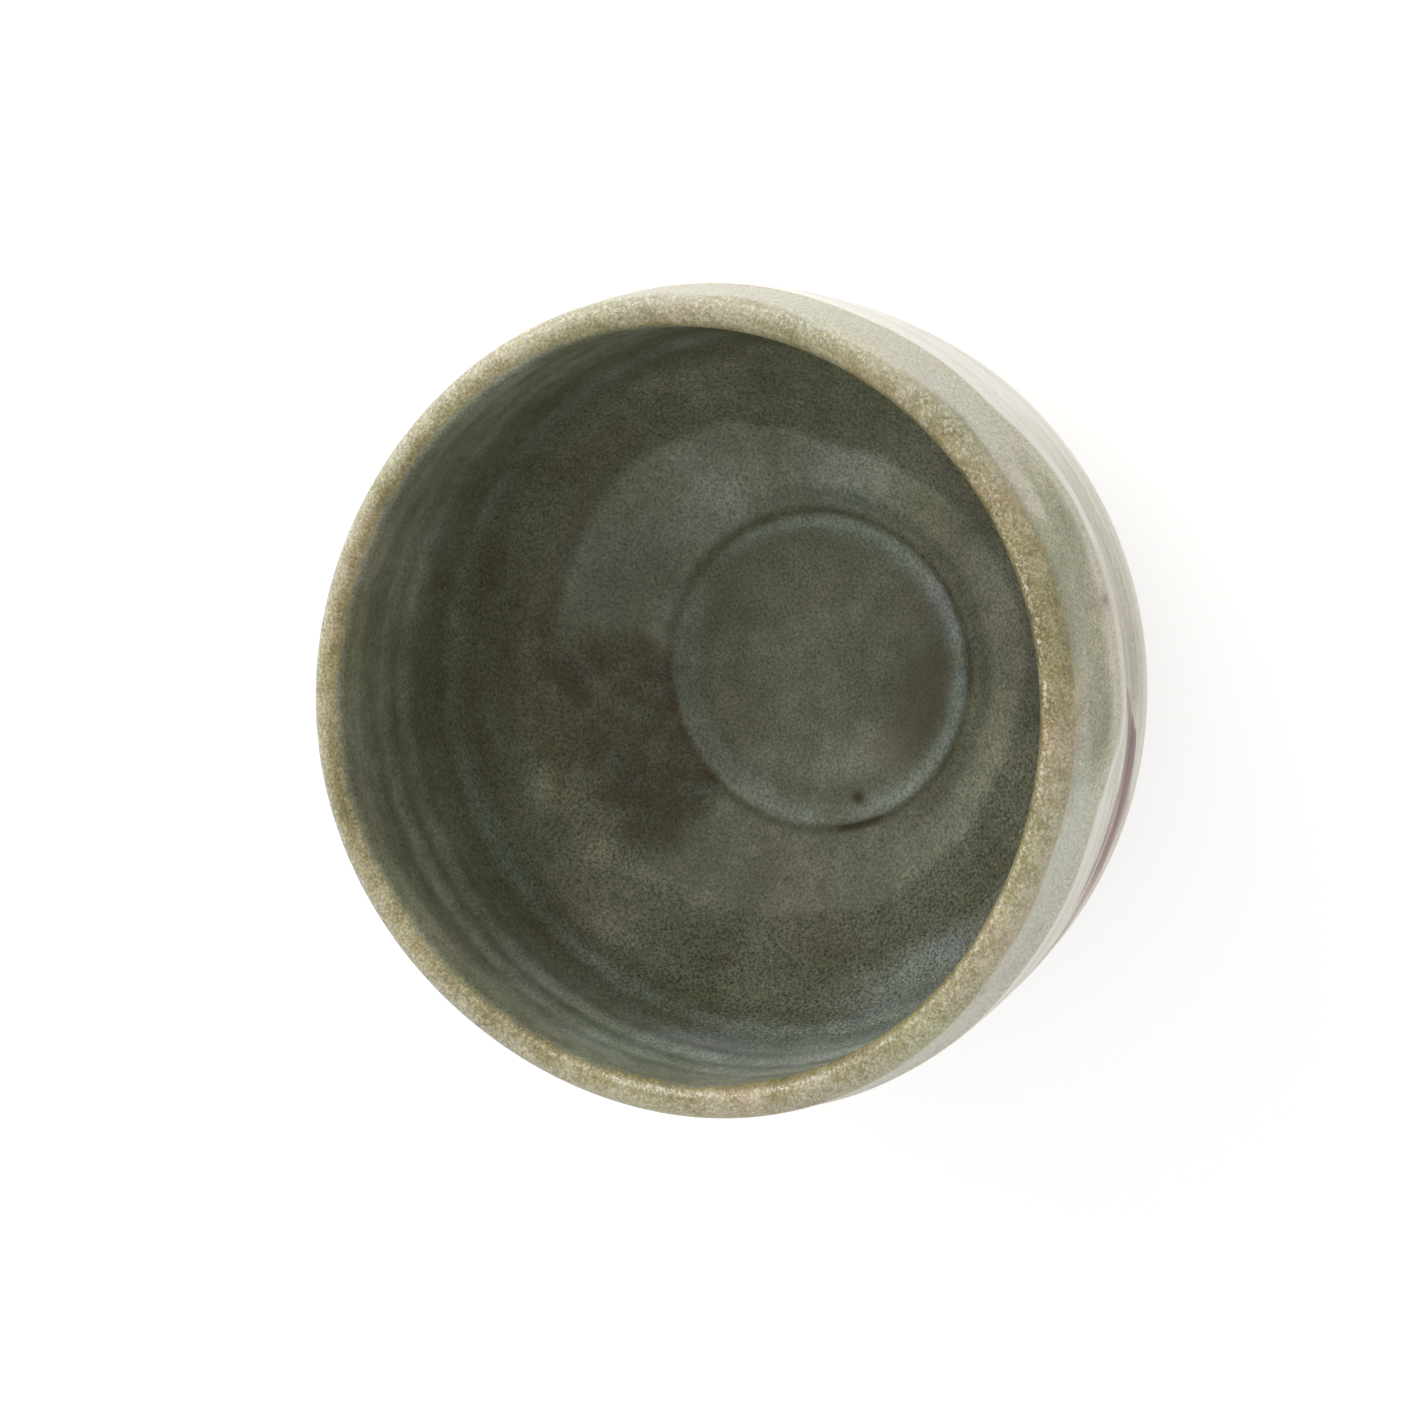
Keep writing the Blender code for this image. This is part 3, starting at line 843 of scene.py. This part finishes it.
# Each stroke, from where the brush lands to where it lifts: degrees, height in mm and half width in mm
STROKES = {
    "plum_stroke_1": (
        (-103.5, 48.4, 0.9), (-109, 45.8, 3.4), (-115, 42.9, 5.9), (-123, 42.2, 8.6), (-133, 42.7, 9.9),
        (-150, 40.5, 8.6), (-163, 37.8, 5.6), (-172, 36.0, 1.0),
    ),
    "plum_stroke_2": (
        (67, 42.0, 0.8), (60, 41.0, 3.6), (45, 39.5, 5.2), (28, 37.6, 4.8), (15, 36.0, 3.2), (8, 35.0, 0.8),
    ),
    "plum_stroke_3": (
        (142, 37.0, 0.8), (134, 36.0, 3.8), (120, 34.2, 5.2), (108, 32.6, 4.2), (98, 31.5, 0.9),
    ),
}


def make_stroke(material, node, route):
    """A brush stroke over the slip: its piece is wider than its colour, which fades out before the edge."""
    shape = bmesh.new()
    bmesh.ops.create_grid(shape, x_segments=160, y_segments=32, size=1.0)
    piece = finished_piece(f"brushed_{node}", shape)
    mesh = piece.data
    grid = get_points(mesh)
    run, side = 0.5 - grid[:, 0] / 2, grid[:, 1]
    curve = curve_through(route)
    share = np.linspace(0, 1, len(curve))
    degrees, middle, half_width = (np.interp(run, share, values) for values in curve.T)
    angle = np.radians(degrees)
    width = half_width * (1 + waver(6 * angle, 0, 71, 0.05, lobes=9) * side)
    along = outside_at_height((middle + side * width) * MM)
    lift = 0.10 * MM * (1 - side**2) * step(0, 0.1, run) * (1 - step(0.9, 1, run)) - 0.03 * MM
    fade = (1 - step(0.45, 0.95, np.abs(side))) * step(0, 0.06, run) * (1 - step(0.8, 1, run))
    core = hump(run, 0.22, 0.12) * hump(side, 0.1, 0.45)
    set_field(mesh, "load", (0.60 + 0.4 * core) * fade * (1 - 0.9 * step(0.42, 0.8, run)))
    set_field(mesh, "cover", slip_cover(angle, along))
    move_points(mesh, place(angle, along, -lift))
    film = piece.modifiers.new("film", "SOLIDIFY")
    film.thickness = PLUM_FILM
    dress(piece, material, node)


BARE_HEIGHT = 17 * MM  # the clay can show below this
TRIM_DEPTH, TRIM_SPACING = 0.09 * MM, 1.7 * MM  # the trimming tool's rings underneath
CONE_RADIUS, CONE_DROP = 7 * MM, 0.9 * MM  # the point that trimming leaves in the middle


def make_body():
    """The clay body: hidden under the coats, bare below the glaze line, and trimmed flat underneath with a
    groove for the foot and a low cone left in the middle."""
    bare = outside_at_height(BARE_HEIGHT)
    along = np.concatenate([np.arange(0, bare, HIDDEN_ROW), np.arange(bare, LINE_AT[-1], BARE_ROW)])
    radius, height, out_r, out_z = on_line(along)
    skin = np.stack([np.where(along > 0, radius - out_r * COAT, 0), height - out_z * COAT], 1)
    outer, inner = FOOT_RADIUS + SEAT_GAP, FOOT_RADIUS - FOOT_WIDTH - SEAT_GAP
    seat = FOOT_HEIGHT + FOOT_SEAT + SEAT_GAP
    groove = [(outer, FOOT_HEIGHT), (outer, seat), (inner, seat), (inner, FOOT_HEIGHT)]
    middle = np.arange(inner - ROW, 0, -ROW)
    cone = 0.5 + 0.5 * np.cos(np.pi * np.clip(middle / CONE_RADIUS, 0, 1))
    under = np.stack([middle, FOOT_HEIGHT - CONE_DROP * cone], 1)
    outline = np.vstack([skin, groove, under, [(0, FOOT_HEIGHT - CONE_DROP)]])
    along = np.concatenate([along, np.full(len(outline) - len(skin), -1.0)])
    piece = spun("thrown_body", outline, closed=False, along=along, depth=np.full(len(along), COAT))
    mesh = piece.data
    points = get_points(mesh)
    angle, along, depth = on_bowl(mesh)
    radius = np.hypot(points[:, 0], points[:, 1])
    turning = TRIM_DEPTH * np.sin(FULL_TURN * (radius / TRIM_SPACING + angle / FULL_TURN))
    points[:, 2] += turning * step(2 * MM, 5 * MM, radius) * (radius < inner - 0.2 * MM)
    skin = place(angle, np.clip(along, 0, None), depth)
    move_points(mesh, np.where(along[:, None] < 0, points, skin))
    dress(piece, make_bare_clay("bare_stoneware_body", *BODY_CLAY), "clay_body")


def make_foot():
    """The foot ring, its edges softened by hand and its joint smeared over, and its top in the groove."""
    outer, inner = FOOT_RADIUS, FOOT_RADIUS - FOOT_WIDTH
    taper, edge, top = 0.6 * MM, 1.0 * MM, FOOT_HEIGHT + FOOT_SEAT
    flare_top, flare_low = FOOT_HEIGHT + 0.25 * MM, FOOT_HEIGHT - 0.9 * MM
    outside = curve_through([
        (outer + 1.3 * MM, flare_top),
        (outer + 0.1 * MM, flare_low),
        (outer - 0.3 * MM, 4 * MM),
        (outer - taper, edge),
    ], steps=5)
    inside = curve_through([
        (inner + taper, edge),
        (inner + 0.3 * MM, 4 * MM),
        (inner - 0.1 * MM, flare_low),
        (inner - 1.2 * MM, flare_top),
    ], steps=5)
    outline = np.vstack([
        outside[:-1],
        arc((outer - taper - edge, edge), edge, 0, -90, steps=6),
        arc((inner + taper + edge, edge), edge, -90, -180, steps=6),
        inside[1:],
        [(inner, flare_top), (inner, top), (outer, top), (outer, flare_top)],
    ])
    piece = spun("luted_foot", outline, closed=True)
    mesh = piece.data
    points = get_points(mesh)
    angle = np.arctan2(points[:, 1], points[:, 0])
    free = step(0.3 * MM, 2 * MM, points[:, 2]) * (1 - step(flare_low, FOOT_HEIGHT, points[:, 2]))
    uneven = waver(angle, points[:, 2], 61, 0.12 * MM, lobes=7) * free
    points[:, :2] *= (1 + uneven / np.hypot(points[:, 0], points[:, 1]))[:, None]
    move_points(mesh, points)
    dress(piece, make_bare_clay("bare_stoneware_foot", *FOOT_CLAY), "foot_ring")


# Stage, light and camera

FILL_STRENGTH = 0.78  # light from all round, where 1 is white
KEY_STRENGTH = 0.60  # light from the softbox on a surface that faces it, where 1 is white
KEY_AZIMUTH, KEY_ELEVATION = 20, 22  # degrees, from +X towards +Y and above the ground
KEY_DISTANCE, KEY_WIDTH, KEY_DEPTH = 0.75, 0.7, 0.45
PAPER = "dcdcda"  # the paper as it lights the bowl
PAPER_SEEN, PAPER_GLOW = "acacaa", 0.70  # and as it is seen, with its glow, which together come to white

VIEW_TILT, VIEW_ROLL = 23.15, 16.45  # degrees between the view and the bowl's axis, and the turn about it
VIEW_DISTANCE = 0.6
VIEW_WIDTH = 199.4 * MM  # how wide the view is at the mouth
MOUTH_LEFT = 3.24 * MM  # how far the mouth's middle lies left of the view's


def seen_directly(tree):
    """1 for what the camera, a reflection or glass shows, and 0 for the light that falls on a surface."""
    path = add(tree, "LightPath")
    camera, glossy, glass = (
        path.outputs[name] for name in ("Is Camera Ray", "Is Glossy Ray", "Is Transmission Ray")
    )
    seen = add(tree, "Math", (camera, glossy), operation="MAXIMUM")
    return add(tree, "Math", (seen, glass), operation="MAXIMUM")


def make_floor():
    """A sheet of white paper, shown white where it is lit, which keeps the bowl's soft shadow."""
    shape = bmesh.new()
    bmesh.ops.create_grid(shape, x_segments=1, y_segments=1, size=3.0)
    floor = finished_piece("paper_floor", shape)
    material, tree, shader, _ = new_material("white_paper")
    seen = seen_directly(tree)
    colour = add(tree, "Mix", (seen, PAPER, PAPER_SEEN), **COLOUR)
    glow = add(tree, "MapRange", (seen, 0.0, 1.0, 0.0, PAPER_GLOW))
    feed(tree, shader, {
        "Base Color": colour, "Roughness": 0.9, "Specular IOR Level": 0.0,
        "Emission Color": "ffffff", "Emission Strength": glow,
    })
    floor.data.materials.append(material)


def make_world():
    """A white room, plain on the bowl and pure white behind it."""
    world = bpy.data.worlds.new("studio")
    bpy.context.scene.world = world
    world.use_nodes = True
    tree = world.node_tree
    strength = add(tree, "MapRange", (seen_directly(tree), 0.0, 1.0, FILL_STRENGTH, 1.0))
    feed(tree, tree.nodes["Background"], {"Color": "ffffff", "Strength": strength})


def make_key():
    """A softbox, low on one side of the mouth."""
    light = bpy.data.lights.new("softbox", "AREA")
    light.shape = "RECTANGLE"
    light.size, light.size_y = KEY_WIDTH, KEY_DEPTH
    light.energy = KEY_STRENGTH * (math.pi * KEY_DISTANCE) ** 2
    lamp = bpy.data.objects.new("softbox", light)
    bpy.context.scene.collection.objects.link(lamp)
    azimuth, elevation = math.radians(KEY_AZIMUTH), math.radians(KEY_ELEVATION)
    flat = math.cos(elevation)
    away = Vector((math.cos(azimuth) * flat, math.sin(azimuth) * flat, math.sin(elevation)))
    lamp.location = Vector((0, 0, HEIGHT / 2)) + away * KEY_DISTANCE
    lamp.rotation_euler = (-away).to_track_quat("-Z", "Y").to_euler()


def make_camera():
    """Looks down into the mouth, a little from one side."""
    data = bpy.data.cameras.new("camera")
    data.sensor_width = 36
    data.lens = data.sensor_width * VIEW_DISTANCE / VIEW_WIDTH
    camera = bpy.data.objects.new("camera", data)
    bpy.context.scene.collection.objects.link(camera)
    bpy.context.scene.camera = camera
    tilt = Matrix.Rotation(math.radians(VIEW_TILT), 4, "X")
    turn = tilt @ Matrix.Rotation(-math.radians(90 + VIEW_ROLL), 4, "Z")
    mouth = Vector((0, 0, HEIGHT - LIP_ROUND))
    camera.matrix_world = Matrix.Translation(mouth + turn @ Vector((MOUTH_LEFT, 0, VIEW_DISTANCE))) @ turn


def main():
    make_camera()
    make_world()
    make_key()
    make_floor()
    glaze = make_ash_glaze()
    glaze_coat(glaze, spun_coat("fired_inside", 0.0, LIP_START), "inner_glaze")
    glaze_coat(glaze, spun_coat("fired_lip", LIP_START, LIP_END, row=LIP_ROW), "lip_glaze")
    make_outside(glaze)
    brushwork = make_brushwork()
    make_slip_band(brushwork)
    for node, route in STROKES.items():
        make_stroke(brushwork, node, route)
    make_body()
    make_foot()
    bpy.context.scene.view_settings.view_transform = "Standard"


main()
